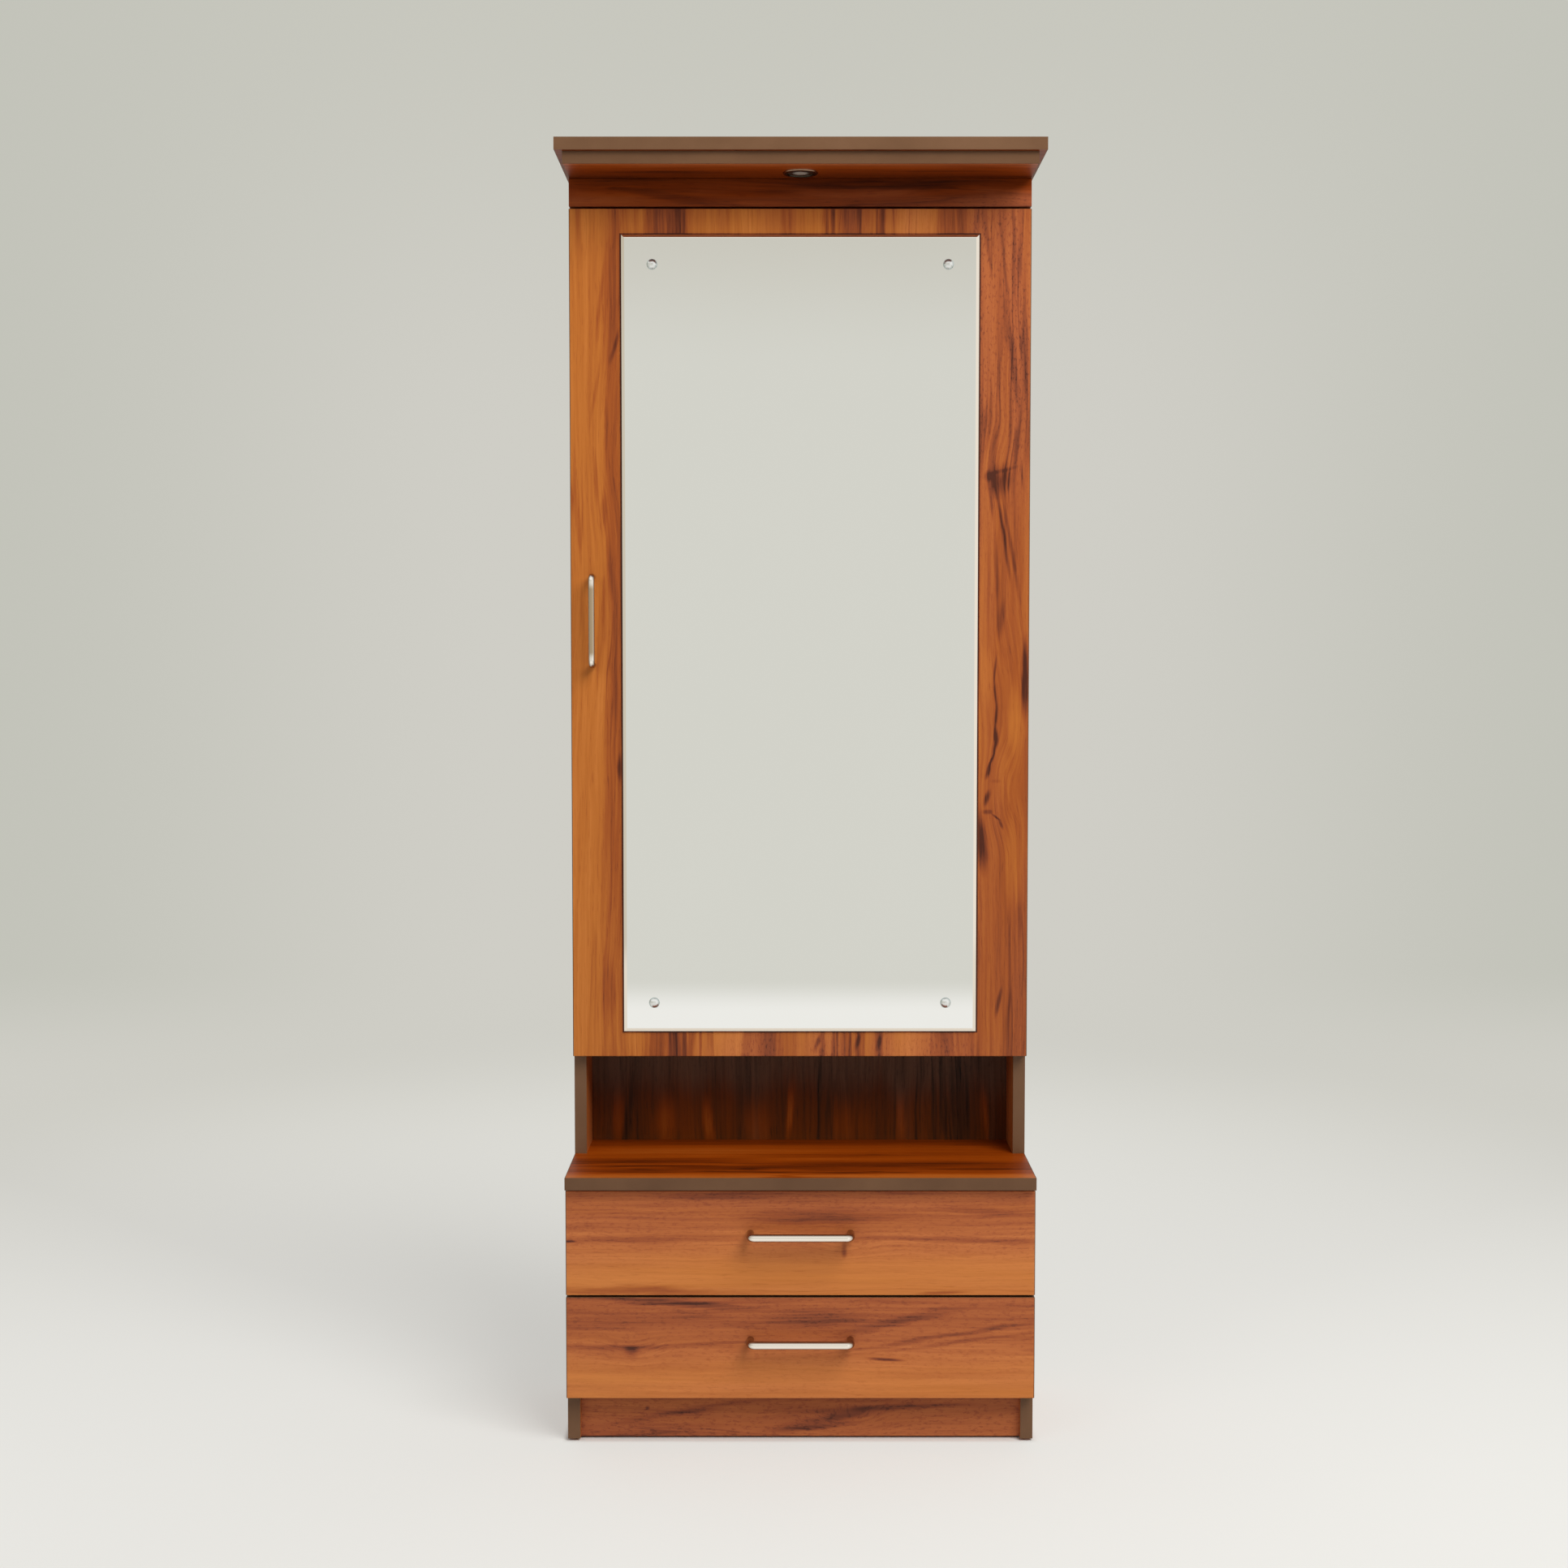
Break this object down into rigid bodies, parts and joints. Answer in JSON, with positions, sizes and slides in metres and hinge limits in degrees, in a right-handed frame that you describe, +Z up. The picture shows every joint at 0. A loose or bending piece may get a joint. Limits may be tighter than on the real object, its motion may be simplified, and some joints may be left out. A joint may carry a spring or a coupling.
{
  "type": "dressing cabinet",
  "caption": "Tall narrow dressing cabinet in wood laminate: mirror door over shelves, open niche, drawer base and stepped canopy with a recessed downlight.",
  "frame": {"origin": "on the floor under the middle of the overall box, handles included", "axes": "+Z up, -Y out of the front, +X to the viewer's right, the door's hinge side"},
  "size_m": [0.62, 0.258, 1.662],
  "materials": {
    "laminate": "satin wood-grain laminate, orange brown with dark streaks",
    "edge_band": "satin brown edge band",
    "drawer_board": "plain pale drawer board",
    "hardboard": "brown hardboard",
    "mirror": "silvered glass",
    "handle_metal": "satin nickel",
    "chrome": "polished",
    "zinc_steel": "zinc plated",
    "lens": "clear",
    "lamp_metal": "satin",
    "black_plastic": "moulded",
    "beech": "raw"
  },
  "bodies": {
    "carcass": {"base_side_left": "laminate", "base_side_right": "laminate", "base_bottom": "laminate", "base_top": "laminate", "base_back": "hardboard", "plinth": "laminate", "floor_glides": "black_plastic", "cabinet_side_left": "laminate", "cabinet_side_right": "laminate", "cabinet_bottom": "laminate", "cabinet_top": "laminate", "cabinet_back": "laminate", "wall_rail": "laminate", "shelf_pins": "zinc_steel", "fascia": "laminate", "canopy_light_board": "laminate", "canopy_top_board": "laminate", "side_edge_bands": "edge_band", "top_edge_bands": "edge_band", "downlight_bezel": "chrome", "downlight_lens": "lens", "downlight_housing": "lamp_metal", "light_lead": "black_plastic", "light_driver": "black_plastic", "hinge_plates": "zinc_steel", "hinge_arms": "zinc_steel", "slide_outers": "zinc_steel", "carcass_screws": "zinc_steel", "cam_locks": "zinc_steel", "cam_bolts": "zinc_steel", "wood_dowels": "beech", "shelf_1": "laminate", "shelf_2": "laminate", "shelf_3": "laminate", "shelf_4": "laminate"},
    "door": {"door_panel": "laminate", "mirror": "mirror", "mirror_screws": "zinc_steel", "mirror_screw_caps": "chrome", "door_handle": "handle_metal", "door_handle_screws": "zinc_steel", "hinge_cups": "zinc_steel", "hinge_cup_screws": "zinc_steel"},
    "hinge_links": {"hinge_links": "zinc_steel"},
    "upper_drawer": {"upper_drawer_front": "laminate", "upper_drawer_sides": "drawer_board", "upper_drawer_back": "drawer_board", "upper_drawer_bottom": "hardboard", "upper_drawer_handle": "handle_metal", "upper_drawer_handle_screws": "zinc_steel", "upper_drawer_slides": "zinc_steel"},
    "upper_slide_middles": {"upper_slide_middles": "zinc_steel"},
    "lower_drawer": {"lower_drawer_front": "laminate", "lower_drawer_sides": "drawer_board", "lower_drawer_back": "drawer_board", "lower_drawer_bottom": "hardboard", "lower_drawer_handle": "handle_metal", "lower_drawer_handle_screws": "zinc_steel", "lower_drawer_slides": "zinc_steel"},
    "lower_slide_middles": {"lower_slide_middles": "zinc_steel"}
  },
  "joints": [
    {"name": "door_swing", "type": "hinge", "parent": "carcass", "child": "door", "pos_m": [0.2945, 0.0175, 0.484], "axis": [0, 0, 1], "range_deg": [0, 110]},
    {"name": "hinge_link_swing", "type": "hinge", "parent": "carcass", "child": "hinge_links", "pos_m": [0.275, 0.036, 0.484], "axis": [0, 0, 1], "range_deg": [0, 110]},
    {"name": "upper_drawer_slide", "type": "slide", "parent": "carcass", "child": "upper_drawer", "axis": [0, -1, 0], "range_m": [0, 0.17]},
    {"name": "upper_slide_middle", "type": "slide", "parent": "carcass", "child": "upper_slide_middles", "axis": [0, -1, 0], "range_m": [0, 0.085]},
    {"name": "lower_drawer_slide", "type": "slide", "parent": "carcass", "child": "lower_drawer", "axis": [0, -1, 0], "range_m": [0, 0.17]},
    {"name": "lower_slide_middle", "type": "slide", "parent": "carcass", "child": "lower_slide_middles", "axis": [0, -1, 0], "range_m": [0, 0.085]}
  ],
  "couplings": [
    {"joint": "hinge_link_swing", "follows": "door_swing", "ratio": 1},
    {"joint": "upper_slide_middle", "follows": "upper_drawer_slide", "ratio": 0.5},
    {"joint": "lower_slide_middle", "follows": "lower_drawer_slide", "ratio": 0.5}
  ]
}
